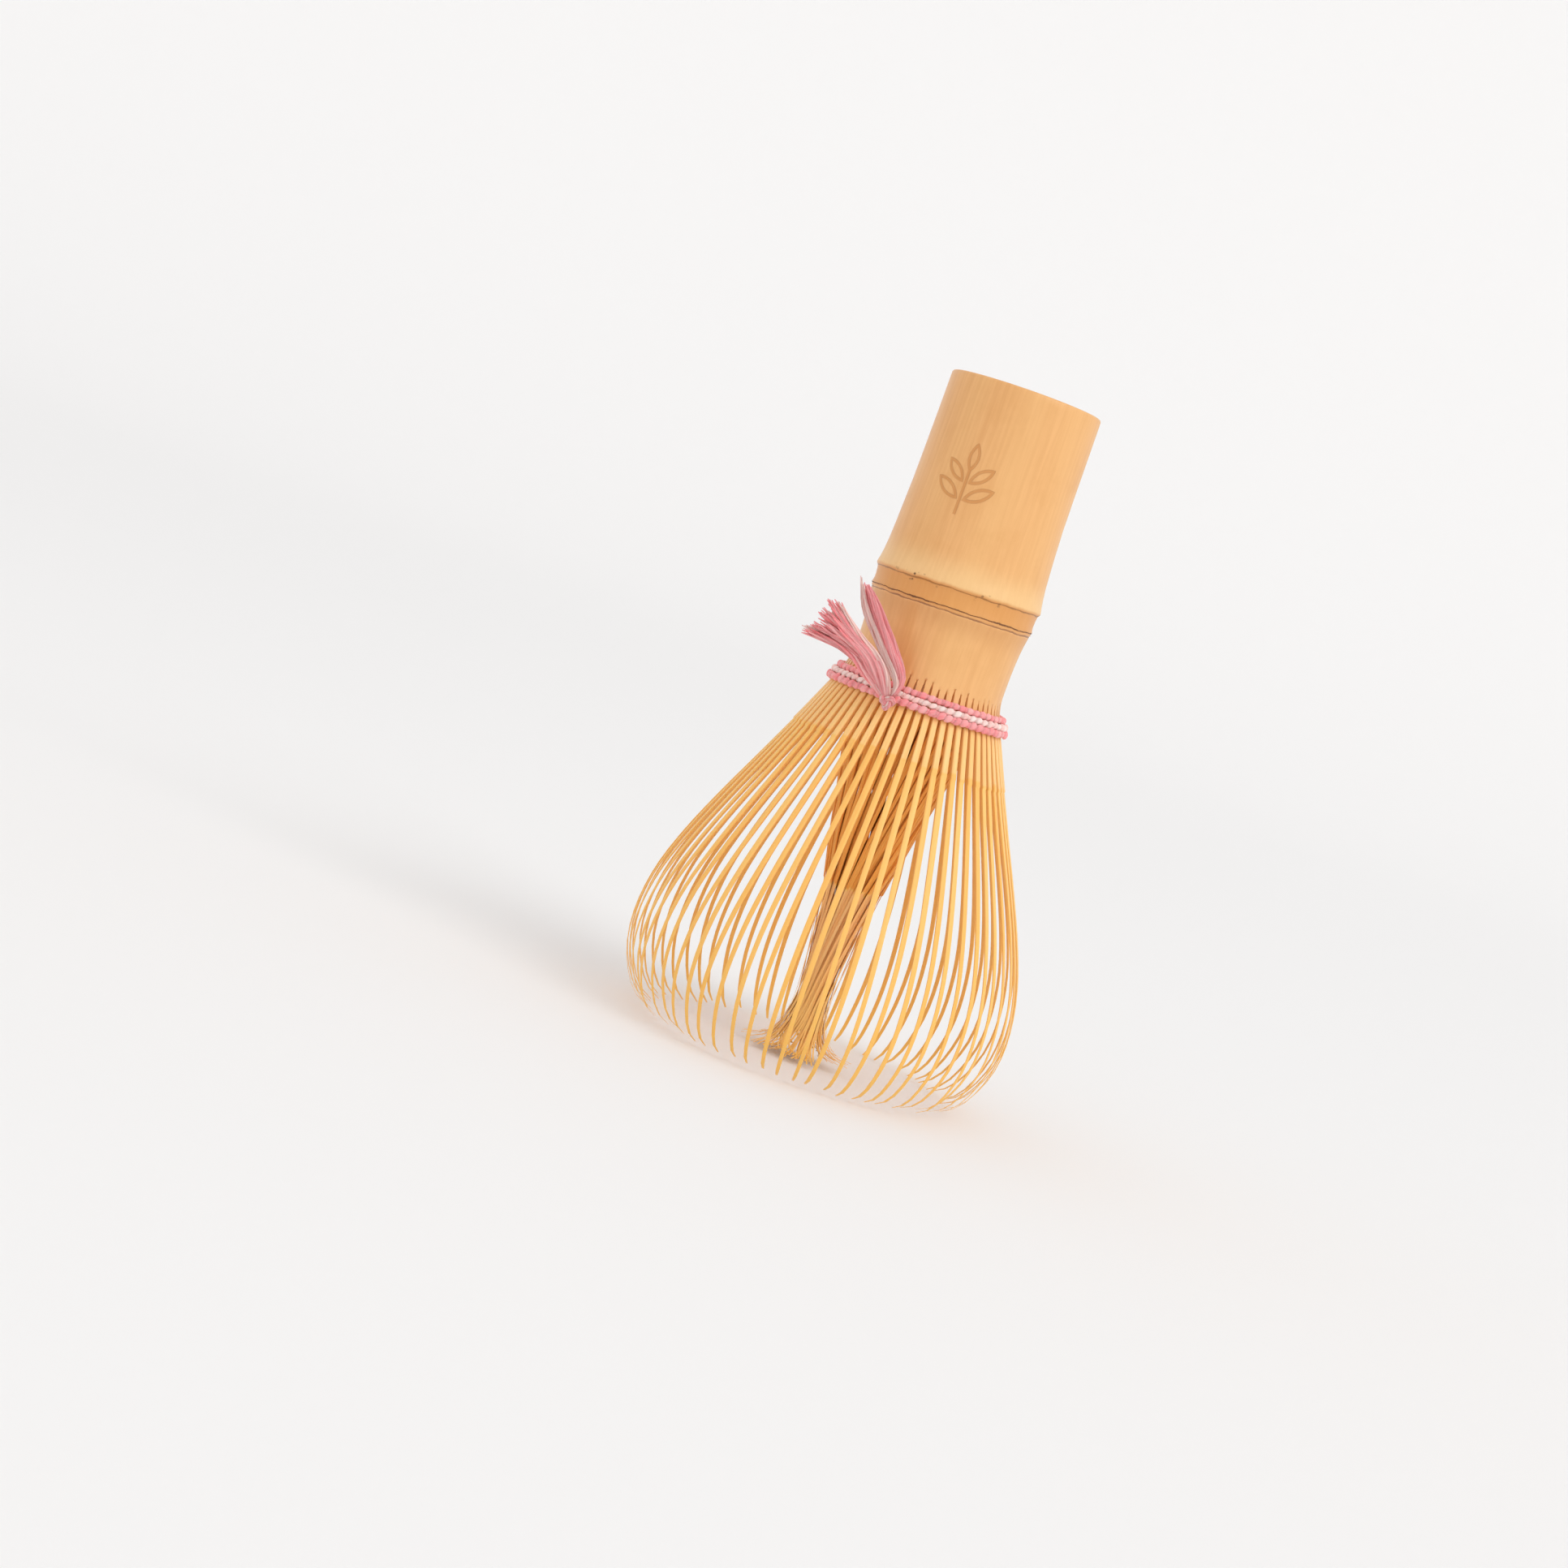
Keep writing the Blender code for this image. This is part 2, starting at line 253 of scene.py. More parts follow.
def ring_line_group():
    """A thin ragged line round the culm at one height."""
    group, tree, given, end = new_group(
        "ring line",
        [("Place", "Vector"), ("Level", "Float"), ("Half width", "Float"), ("Raggedness", "Float")],
        [("Mask", "Float")],
    )
    x, y, z = tree.axes(given["Place"])
    apart = tree.math("MULTIPLY", given["Level"], 7.0)
    around = tree.add("CombineXYZ", {0: x, 1: y, 2: apart}).outputs[0]
    waver = tree.math("SUBTRACT", tree.noise(around, 900.0, detail=4.0, roughness=0.7), 0.5)
    fade = tree.noise(around, 300.0, detail=2.0)
    level = tree.math("MULTIPLY_ADD", waver, given["Raggedness"], given["Level"])
    away = tree.math("ABSOLUTE", tree.math("SUBTRACT", z, level))
    width = tree.math("MULTIPLY", given["Half width"], tree.ramp(fade, 0.3, 0.75, 0.55, 1.5))
    tree.feed(end.inputs["Mask"], tree.ramp(tree.math("DIVIDE", away, width), 1.1, 0.55))
    return group


def sprig_group():
    """A plain engraved sprig: a stem, two pairs of leaves and a leaf at the top."""
    group, tree, given, end = new_group(
        "engraved sprig",
        [("Across", "Float"), ("Up", "Float"), ("Line", "Float")],
        [("Mask", "Float")],
    )
    side = tree.math("ABSOLUTE", given["Across"])
    place = tree.add("CombineXYZ", {0: side, 1: given["Up"], 2: 0.0}).outputs[0]
    half = tree.math("MULTIPLY", given["Line"], 0.5)

    def leaf(across, up, lean, length, width):
        round_radius = (length**2 + width**2) / (2 * width)
        local = tree.vector("SUBTRACT", place, (across, up, 0.0))
        turn = {"Vector": local, "Angle": math.radians(lean)}
        turned = tree.add("VectorRotate", turn, rotation_type="Z_AXIS").outputs[0]
        reach = round_radius - width
        first = tree.vector("DISTANCE", turned, (reach, 0.0, 0.0))
        second = tree.vector("DISTANCE", turned, (-reach, 0.0, 0.0))
        edge = tree.math("SUBTRACT", tree.math("MAXIMUM", first, second), round_radius)
        return tree.math("ABSOLUTE", edge)

    lower = leaf(2.55, -0.9, 58.0, 2.2, 0.78)
    upper = leaf(2.1, 1.9, 48.0, 1.95, 0.7)
    top = leaf(0.0, 4.3, 0.0, 1.9, 0.68)
    reach = tree.math("SUBTRACT", tree.math("ABSOLUTE", tree.math("ADD", given["Up"], 1.0)), 3.3)
    stem = tree.math("MAXIMUM", side, reach)
    pairs = tree.math("MINIMUM", lower, upper)
    nearest = tree.math("MINIMUM", pairs, tree.math("MINIMUM", top, stem))
    tree.feed(end.inputs["Mask"], tree.ramp(tree.math("DIVIDE", nearest, half), 1.25, 0.6))
    return group


def new_material(name, specular):
    """A material with its Principled shader and a tree to build on."""
    made = bpy.data.materials.new(name)
    made.use_nodes = True
    shader = made.node_tree.nodes["Principled BSDF"]
    shader.inputs["Specular IOR Level"].default_value = specular
    return made, Tree(made.node_tree), shader


def add_bump(tree, shader, height, strength, distance):
    """Feeds a height into the shader's normal."""
    bump = tree.add("Bump", {"Strength": strength, "Distance": distance, "Height": height})
    tree.feed(shader.inputs["Normal"], bump.outputs[0])


def culm_skin(fibre, ring_line, sprig):
    """Polished tan bamboo skin, with the marks of the node and the engraved sprig. Its paler soft
    bands are partly painted highlight, and a band just above the node ridge is a painted highlight.
    """
    material, tree, shader = new_material("culm skin", specular=0.4)
    place = tree.attribute("grain")
    x, y, z = tree.axes(place)
    grain = tree.group(fibre, place=place, fineness=1500.0, slimness=0.035)
    soft = tree.group(fibre, place=place, fineness=620.0, slimness=0.02)
    blotch = tree.noise(place, 170.0, detail=4.0, roughness=0.6)

    base = tree.mix(grain["Streaks"], tint(228, 167, 104), tint(238, 181, 118))
    # Paler soft bands along the fibre: partly grain tone and partly a painted soft highlight.
    base = tree.stain(base, soft["Bands"], 0.55, tint(240, 187, 122))
    base = tree.mix(tree.ramp(blotch, 0.42, 0.75, 0.0, 0.28), base, tint(218, 156, 88))
    collar = tree.band(z, (72.6 * MM, 73.6 * MM), (76.9 * MM, 76.2 * MM))
    base = tree.stain(base, collar, 0.6, tint(216, 142, 62))
    # Painted highlight: a pale band just above the node ridge, standing in for light caught on the
    # flare.
    above = tree.band(z, (76.4 * MM, 77.0 * MM), (82.0 * MM, 77.4 * MM))
    base = tree.stain(base, above, 0.45, tint(250, 214, 154))
    below = tree.band(z, (72.9 * MM, 72.4 * MM), (68.5 * MM, 72.2 * MM))
    base = tree.stain(base, below, 0.4, tint(202, 140, 82))

    def ring(level, half_width, raggedness):
        inputs = {"level": level, "half_width": half_width * MM, "raggedness": raggedness * MM}
        return tree.group(ring_line, place=place, **inputs)["Mask"]

    ridge = ring(NODE_RIDGE, 0.13, 0.25)
    dark = ring(DARK_LINE, 0.12, 0.32)
    second = ring(SECOND_LINE, 0.12, 0.2)
    pit_ring = tree.band(z, (75.5 * MM, 76.0 * MM), (77.1 * MM, 76.7 * MM))
    pit_patch = tree.ramp(tree.noise(place, 90.0, detail=1.0), 0.5, 0.6)
    pit_dots = tree.ramp(tree.dots(place, 1050.0), 0.3, 0.18)
    pits = tree.math("MULTIPLY", tree.math("MULTIPLY", pit_ring, pit_patch), pit_dots)
    base = tree.stain(base, ridge, 0.7, tint(150, 98, 48))
    base = tree.stain(base, dark, 0.9, tint(116, 76, 52))
    base = tree.stain(base, second, 0.85, tint(150, 98, 64))
    base = tree.stain(base, pits, 0.85, tint(84, 56, 36))

    bearing = tree.math("ARCTAN2", x, tree.math("MULTIPLY", y, -1.0))
    across = tree.math("MULTIPLY", tree.math("ADD", bearing, SPRIG_BEARING), SKIN_RADIUS)
    up = tree.math("MULTIPLY", tree.math("SUBTRACT", z, SPRIG_HEIGHT), 1000.0)
    drawn = tree.group(sprig, across=across, up=up, line=0.5)["Mask"]
    carved = tree.math("MULTIPLY", drawn, tree.math("LESS_THAN", y, 0.0))
    base = tree.stain(base, carved, 0.55, tint(196, 124, 60))
    tree.feed(shader.inputs["Base Color"], base)

    marks = tree.math("MAXIMUM", dark, tree.math("MAXIMUM", pits, carved))
    rough = tree.ramp(soft["Bands"], 0.0, 1.0, 0.36, 0.46)
    tree.feed(shader.inputs["Roughness"], tree.math("MULTIPLY_ADD", marks, 0.3, rough))
    sunk = tree.math("MULTIPLY", tree.math("MAXIMUM", dark, pits), 0.8)
    height = tree.math("SUBTRACT", tree.math("MULTIPLY", grain["Height"], 0.05), carved)
    height = tree.math("SUBTRACT", height, sunk)
    add_bump(tree, shader, height, 0.6, 0.16 * MM)
    shader.inputs["Coat Weight"].default_value = 0.12
    shader.inputs["Coat Roughness"].default_value = 0.25
    return material


def cut_end():
    """Cut end of the culm: pale ground wood with dark fibre bundles, denser towards the skin."""
    material, tree, shader = new_material("culm cut end", specular=0.3)
    place = tree.attribute("grain")
    radius = tree.vector("LENGTH", tree.vector("MULTIPLY", place, (1.0, 1.0, 0.0)))
    outwards = tree.ramp(radius, 7.0 * MM, 12.0 * MM)
    dots = tree.dots(place, 1900.0, randomness=0.85)
    share = tree.ramp(outwards, 0.0, 0.9, 0.45, 0.95)
    bundle = tree.math("MULTIPLY", tree.ramp(dots, 0.42, 0.2), share)
    mottle = tree.noise(place, 260.0, detail=4.0)
    base = tree.mix(mottle, tint(238, 204, 146), tint(224, 182, 120))
    base = tree.stain(base, outwards, 0.35, tint(208, 156, 90))
    base = tree.mix(bundle, base, tint(150, 102, 56))
    tree.feed(shader.inputs["Base Color"], base)
    tree.feed(shader.inputs["Roughness"], tree.ramp(dots, 0.1, 0.6, 0.62, 0.8))
    add_bump(tree, shader, tree.math("MULTIPLY", bundle, -1.0), 0.5, 0.08 * MM)
    return material


def bore_wall(fibre):
    """The papery wall inside the culm."""
    material, tree, shader = new_material("culm bore", specular=0.2)
    place = tree.attribute("grain")
    grain = tree.group(fibre, place=place, fineness=900.0, slimness=0.08)
    blotch = tree.noise(place, 240.0, detail=5.0, roughness=0.65)
    base = tree.mix(grain["Streaks"], tint(216, 176, 116), tint(238, 208, 156))
    base = tree.mix(tree.ramp(blotch, 0.45, 0.8, 0.0, 0.6), base, tint(180, 130, 76))
    tree.feed(shader.inputs["Base Color"], base)
    tree.feed(shader.inputs["Roughness"], tree.ramp(blotch, 0.3, 0.7, 0.7, 0.9))
    add_bump(tree, shader, grain["Height"], 0.4, 0.2 * MM)
    return material


def tine_finish(fibre, name, skin, shaved, edge, tip, step, rough):
    """Split bamboo: skin down to a shaved step, then golden wood that pales to the tips. The cut
    sides, and faintly the inner face, carry painted shade.
    """
    material, tree, shader = new_material(name, specular=0.25)
    place = tree.attribute("grain")
    _, depth, along = tree.axes(place)
    tone = tree.attribute("tone", "Fac")
    grain = tree.group(fibre, place=place, fineness=2600.0, slimness=0.03)
    wood = tree.mix(grain["Streaks"], shaved[0], shaved[1])
    wood = tree.mix(tree.ramp(tone, 0.0, 1.0, 0.0, 0.55), wood, shaved[2])
    wood = tree.mix(tree.ramp(along, step * 1.2, 64 * MM, 0.0, 0.9), wood, tip)
    bark = tree.mix(grain["Streaks"], skin[0], skin[1])
    ragged = tree.math("MULTIPLY_ADD", tone, 0.7 * MM, step - 0.35 * MM)
    past_step = tree.math("SUBTRACT", along, ragged)
    base = tree.mix(tree.ramp(past_step, -0.12 * MM, 0.12 * MM), bark, wood)
    lip = tree.ramp(tree.math("ABSOLUTE", past_step), 0.3 * MM, 0.12 * MM)
    base = tree.stain(base, lip, 0.5, tip)
    # Painted shade: the edge colour darkens the cut sides of each tine, and faintly its inner face.
    side = tree.band(depth, (0.12, 0.5), (0.98, 0.8, 0.35, 1.0))
    base = tree.stain(base, side, 0.45, edge)
    tree.feed(shader.inputs["Base Color"], base)
    tree.feed(shader.inputs["Roughness"], tree.ramp(grain["Bands"], 0.0, 1.0, rough, rough + 0.12))
    add_bump(tree, shader, grain["Height"], 0.3, 0.05 * MM)
    shader.inputs["Subsurface Weight"].default_value = 0.15
    shader.inputs["Subsurface Radius"].default_value = (1.0, 0.55, 0.2)
    shader.inputs["Subsurface Scale"].default_value = 0.6 * MM
    return material


def thread_finish(name, dark, main, light):
    """Soft cotton thread with fine fibres along its length."""
    material, tree, shader = new_material(name, specular=0.15)
    place = tree.attribute("grain")
    tone = tree.attribute("tone", "Fac")
    stretched = tree.vector("MULTIPLY", place, (1.0, 1.0, 0.12))
    fibres = tree.noise(stretched, 5200.0, detail=4.0, roughness=0.7)
    patch = tree.noise(place, 700.0, detail=2.0)
    base = tree.mix(tree.ramp(fibres, 0.3, 0.7), dark, main)
    base = tree.mix(tree.ramp(tone, 0.25, 1.0, 0.0, 0.75), base, light)
    base = tree.mix(tree.ramp(patch, 0.5, 0.8, 0.0, 0.35), base, light)
    tree.feed(shader.inputs["Base Color"], base)
    tree.feed(shader.inputs["Roughness"], tree.ramp(fibres, 0.2, 0.8, 0.75, 0.95))
    add_bump(tree, shader, fibres, 0.3, 0.05 * MM)
    shader.inputs["Sheen Weight"].default_value = 0.05
    shader.inputs["Sheen Roughness"].default_value = 0.5
    shader.inputs["Subsurface Weight"].default_value = 0.4
    shader.inputs["Subsurface Radius"].default_value = (1.0, 0.5, 0.55)
    shader.inputs["Subsurface Scale"].default_value = 0.8 * MM
    return material


# Shapes.


class Line:
    """A smooth curve through a few points, read by its share of the way along."""

    def __init__(self, points):
        self.points = [Vector(point) * MM for point in points]
        self.marks = [0.0]
        for before, after in zip(self.points, self.points[1:]):
            self.marks.append(self.marks[-1] + (after - before).length)
        last = len(self.points) - 1
        self.slopes = []
        for i in range(last + 1):
            low, high = max(i - 1, 0), min(i + 1, last)
            run = self.marks[high] - self.marks[low]
            self.slopes.append((self.points[high] - self.points[low]) / run)

    def place(self, share):
        along = min(max(share, 0.0), 1.0) * self.marks[-1]
        i = max(j for j in range(len(self.points) - 1) if self.marks[j] <= along)
        step = self.marks[i + 1] - self.marks[i]
        t = (along - self.marks[i]) / step
        return (
            self.points[i] * (2 * t**3 - 3 * t**2 + 1)
            + self.slopes[i] * (step * (t**3 - 2 * t**2 + t))
            + self.points[i + 1] * (3 * t**2 - 2 * t**3)
            + self.slopes[i + 1] * (step * (t**3 - t**2))
        )

    def heading(self, share):
        return (self.place(share + 0.01) - self.place(share - 0.01)).normalized()


def between(stops, share):
    """A value read along straight stretches between (share, value) stops."""
    for (low, first), (high, second) in zip(stops, stops[1:]):
        if share <= high:
            return first + (second - first) * max(share - low, 0.0) / (high - low)
    return stops[-1][1]


def long_edges(shape):
    """The edges that run the length of a straight piece."""
    return [edge for edge in shape.edges if abs(edge.verts[0].co.z - edge.verts[1].co.z) > 0.5]


def flat_stock(cuts):
    """A straight flat bar, one unit each way, with softened long edges and rings of points."""
    shape = bmesh.new()
    bmesh.ops.create_cube(shape, size=1.0)
    bmesh.ops.bevel(
        shape, geom=long_edges(shape), offset=0.14, offset_type="OFFSET", segments=1,
        profile=0.5, affect="EDGES", material=-1,
    )
    bmesh.ops.subdivide_edges(shape, edges=long_edges(shape), cuts=cuts, use_grid_fill=True)
    bmesh.ops.translate(shape, verts=shape.verts, vec=(0, 0, 0.5))
    return as_stock(shape, "flat_stock")


def round_stock(sides, cuts):
    """A straight round fibre of radius one and length one, with rings of points along it."""
    shape = bmesh.new()
    bmesh.ops.create_cone(shape, cap_ends=True, segments=sides, radius1=1.0, radius2=1.0, depth=1.0)
    bmesh.ops.subdivide_edges(shape, edges=long_edges(shape), cuts=cuts, use_grid_fill=True)
    bmesh.ops.translate(shape, verts=shape.verts, vec=(0, 0, 0.5))
    return as_stock(shape, "round_stock")


def as_stock(shape, name):
    """Keeps a straight piece as a mesh that is copied into many bent ones."""
    mesh = bpy.data.meshes.new(name)
    shape.to_mesh(mesh)
    shape.free()
    return mesh


def new_shape():
    """An empty mesh that carries a place along the grain and a tone for each strand."""
    shape = bmesh.new()
    shape.verts.layers.float_vector.new("grain")
    shape.verts.layers.float.new("tone")
    return shape


def grain_and_tone(shape):
    """The two values that a shape keeps at each point."""
    return shape.verts.layers.float_vector["grain"], shape.verts.layers.float["tone"]


def add_stock(shape, stock, slot=0):
    """Copies a straight piece in, and returns its points."""
    first_vert, first_face = len(shape.verts), len(shape.faces)
    shape.from_mesh(stock)
    shape.verts.ensure_lookup_table()
    shape.faces.ensure_lookup_table()
    for face in shape.faces[first_face:]:
        face.material_index = slot
        face.smooth = True
    return shape.verts[first_vert:]


def finish_piece(name, shape, materials, body, replaced):
    """Turns a shape into a piece of the object, riding on a body of the frame."""
    bmesh.ops.recalc_face_normals(shape, faces=shape.faces)
    mesh = bpy.data.meshes.new(name)
    shape.to_mesh(mesh)
    shape.free()
    for material in materials:
        mesh.materials.append(material)
    piece = bpy.data.objects.new(name, mesh)
    bpy.context.scene.collection.objects.link(piece)
    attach(piece, body)
    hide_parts(*replaced)
    return piece


# The culm.


def culm_profile():
    """Half section of the culm, from the top of the diaphragm over the rim to its underside."""
    upper_bore = [
        (0.0, 76.5), (3.0, 76.6), (5.2, 77.0), (6.4, 78.2), (6.9, 80.5),
        (7.0, 84.0), (7.0, 95.0), (7.0, 107.1), (7.2, 107.5),
    ]
    rim = [(7.4, 107.6), (11.6, 107.6), (11.85, 107.5), (11.98, 107.25)]
    handle = [
        (12.0, 106.5), (12.04, 101.0), (12.1, 95.0), (12.2, 90.0), (12.33, 86.0),
        (12.45, 83.0), (12.6, 80.6), (12.8, 78.8), (13.0, 77.6),
    ]
    node = [
        (13.14, 77.0), (13.18, 76.7), (13.12, 76.45), (12.95, 76.28), (12.86, 76.05),
        (12.8, 75.6), (12.76, 75.0), (12.76, 74.4), (12.84, 73.85), (12.92, 73.6),
        (12.92, 73.46), (12.78, 73.34), (12.84, 73.2), (12.82, 73.06), (12.68, 72.96),
    ]
    waist = [
        (12.7, 72.8), (12.6, 72.2), (12.45, 71.2), (12.28, 69.8), (12.15, 68.0),
        (12.08, 66.0), (12.06, 64.6),
    ]
    foot = []
    for row in reversed(SLIT_ROWS):
        down = (SLIT_ROWS[-1] - row) / (SLIT_ROWS[-1] - CULM_FOOT)
        foot.append((SKIN_RADIUS + 0.9 * down**2, row))
    recess = [(11.1, CULM_FOOT), (11.1, 63.6), (9.5, 63.9)]
    lower_bore = [(9.2, 67.0), (8.6, 71.0), (7.4, 73.2), (5.0, 74.0), (0.0, 74.3)]
    return upper_bore + rim + handle + node + waist + foot + recess + lower_bore


def press_slits(shape):
    """Presses a slit between each pair of tine heads into the foot of the culm."""
    chance = random.Random(11)
    tops = [chance.uniform(*SLIT_TOPS) * MM for _ in range(TINES)]
    narrowing = [(0, 1.1), (0.7, 0.9), (1, 0.3)]
    depth = [(0, 0.8), (0.6, 0.7), (0.95, 0.35), (1.1, 0)]
    shoulder = [(0, 0.72), (0.7, 0.6), (1, 0.3), (1.2, 1)]
    for vert in shape.verts:
        radius = vert.co.xy.length
        angle = math.atan2(vert.co.y, vert.co.x)
        slit = round(angle / PITCH)
        rise = (vert.co.z - CULM_FOOT * MM) / (tops[slit % TINES] - CULM_FOOT * MM)
        if radius < SKIN_FROM or rise >= 1.2:
            continue
        off = angle / PITCH - slit
        column = round(abs(off) * COLUMNS_PER_TINE * 2)
        if column == 1:
            off *= between(narrowing, rise)
            radius -= between(depth, rise) * MM
        elif column == 3:
            off *= between(shoulder, rise)
        angle = (slit + off) * PITCH
        radius = max(radius, SLIT_FLOOR)
        vert.co = (radius * math.cos(angle), radius * math.sin(angle), vert.co.z)


def warp_culm(shape):
    """Makes the turned culm a grown one: its node runs askew and nothing is quite round."""
    for vert in shape.verts:
        angle = math.atan2(vert.co.y, vert.co.x)
        near_node = math.exp(-(((vert.co.z - NODE_MIDDLE) / (5 * MM)) ** 2))
        around = Vector((math.cos(angle), math.sin(angle), 0.0))
        swell = noise.noise(around * 1.4 + Vector((0, 0, vert.co.z / (9 * MM))))
        ripple = noise.noise(around * 6.0 + Vector((4, 0, vert.co.z / (2 * MM))))
        if vert.co.xy.length > WARP_FROM:
            grow = (0.09 * swell + 0.07 * ripple * near_node) * MM
            fade = min(max((vert.co.z - 61 * MM) / (3 * MM), 0.0), 1.0)
            vert.co += around * grow * fade - around * 0.06 * MM * fade
        vert.co.z += near_node * (0.28 * math.cos(angle - 0.3) + 0.13 * ripple) * MM


def make_culm(materials):
    """The handle: one turned shape with a bore, a diaphragm, a node and slits in its foot."""
    shape = new_shape()
    verts = [shape.verts.new((r * MM, 0, z * MM)) for r, z in culm_profile()]
    edges = [shape.edges.new(pair) for pair in zip(verts, verts[1:])]
    half_column = Matrix.Rotation(-PITCH / COLUMNS_PER_TINE / 2, 3, "Z")
    bmesh.ops.rotate(shape, verts=verts, matrix=half_column)
    bmesh.ops.spin(
        shape, geom=verts + edges, cent=(0, 0, 0), axis=(0, 0, 1), angle=math.tau,
        steps=TINES * COLUMNS_PER_TINE, use_merge=True,
    )
    bmesh.ops.remove_doubles(shape, verts=shape.verts, dist=0.002 * MM)
    press_slits(shape)
    grain, _ = grain_and_tone(shape)
    for vert in shape.verts:
        vert[grain] = vert.co
    bmesh.ops.recalc_face_normals(shape, faces=shape.faces)
    for face in shape.faces:
        middle = face.calc_center_median()
        radius = middle.xy.length
        faces_in = face.normal.dot(middle * Vector((1, 1, 0))) < 0
        flat_top = middle.z > HANDLE_TOP - 0.05 * MM
        inside = radius < RECESS_RADIUS or (faces_in and radius < SKIN_FROM)
        face.material_index = 1 if flat_top else 2 if inside else 0
        face.smooth = not flat_top
    warp_culm(shape)
    culm = finish_piece("culm", shape, materials, "root", ["handle_culm"])
    culm.data.set_sharp_from_angle(angle=math.radians(50))


# The tines.


def station(i, count, step):
    """Share of the way along for ring i of a tine, with two rings close at the shaved step."""
    if i <= RINGS_TO_STEP:
        return step * i / RINGS_TO_STEP
    rest = (i - RINGS_TO_STEP - 1) / (count - RINGS_TO_STEP - 1)
    return step + STEP_GAP + (1 - step - STEP_GAP) * rest


def bend_tine(verts, layers, line, step, angle_at, width_at, thick_at, extra, tone):
    """Bends a straight bar to a meridian line, turned to its own angle round the whisk."""
    grain, tone_layer = layers
    rings = sorted({round(vert.co.z, 5) for vert in verts})
    shares = {ring: station(i, len(rings) - 1, step) for i, ring in enumerate(rings)}
    for vert in verts:
        share = shares[round(vert.co.z, 5)]
        across = vert.co.x * width_at(share)
        depth = 0.5 - vert.co.y
        shaved = SHAVED_DEPTH if share > step + STEP_GAP / 4 else 0.0
        inward_by = depth * thick_at(share) + shaved * (1 - depth)
        spot = line.place(share)
        along = line.heading(share)
        spot = spot + Vector((along.y, -along.x)) * inward_by + extra(share)
        angle = angle_at(share)
        vert[grain] = Vector((across + tone * 37 * MM, depth, share * line.marks[-1]))
        vert[tone_layer] = tone
        vert.co = (
            spot.x * math.cos(angle) - across * math.sin(angle),
            spot.x * math.sin(angle) + across * math.cos(angle),
            max(spot.y, FLOOR_GAP),
        )


def outer_split(number, stock, material):
    """The four springy tines of one split."""
    chance = random.Random(100 + number)
    shape = new_shape()
    layers = grain_and_tone(shape)
    line = Line(OUTER_LINE)
    widths = [
        (0, 0.92), (0.16, 0.92), (0.45, 0.85), (0.7, 0.74), (0.88, 0.64), (0.985, 0.52), (1, 0.34),
    ]
    thicknesses = [(0, 0.9), (0.16, 0.8), (0.3, 0.6), (0.6, 0.36), (0.85, 0.24), (1, 0.14)]

    def thick_at(share):
        return between(thicknesses, share) * MM

    for i in range(TINES_PER_SPLIT):
        angle = math.tau * number / SPLITS + (i - (TINES_PER_SPLIT - 1) / 2) * PITCH
        sway = chance.uniform(-1, 1) * 0.016
        curl = chance.uniform(-1, 1) * 0.02
        belly = chance.uniform(-0.45, 0.12) * MM
        tip_in = chance.uniform(-1.1, 0.6) * MM
        tip_up = chance.uniform(0.0, 0.7) * MM
        wide = chance.uniform(0.93, 1.05)

        def angle_at(share, angle=angle, sway=sway, curl=curl):
            return angle + sway * math.sin(math.pi * share) ** 2 + curl * share**4

        def width_at(share, wide=wide):
            return between(widths, share) * wide * MM

        def extra(share, belly=belly, tip_in=tip_in, tip_up=tip_up):
            out = belly * math.sin(math.pi * share) ** 2 + tip_in * share**8
            return Vector((out, tip_up * share**6))

        verts = add_stock(shape, stock)
        tone = chance.random()
        bend_tine(verts, layers, line, SKIN_STEP, angle_at, width_at, thick_at, extra, tone)
    name = f"outer_split_{number + 1:02d}"
    node = f"outer_tines_{number + 1:02d}"
    piece = finish_piece(name, shape, [material], f"split_{number + 1:02d}", [node])
    piece.data.set_sharp_from_angle(angle=math.radians(35))


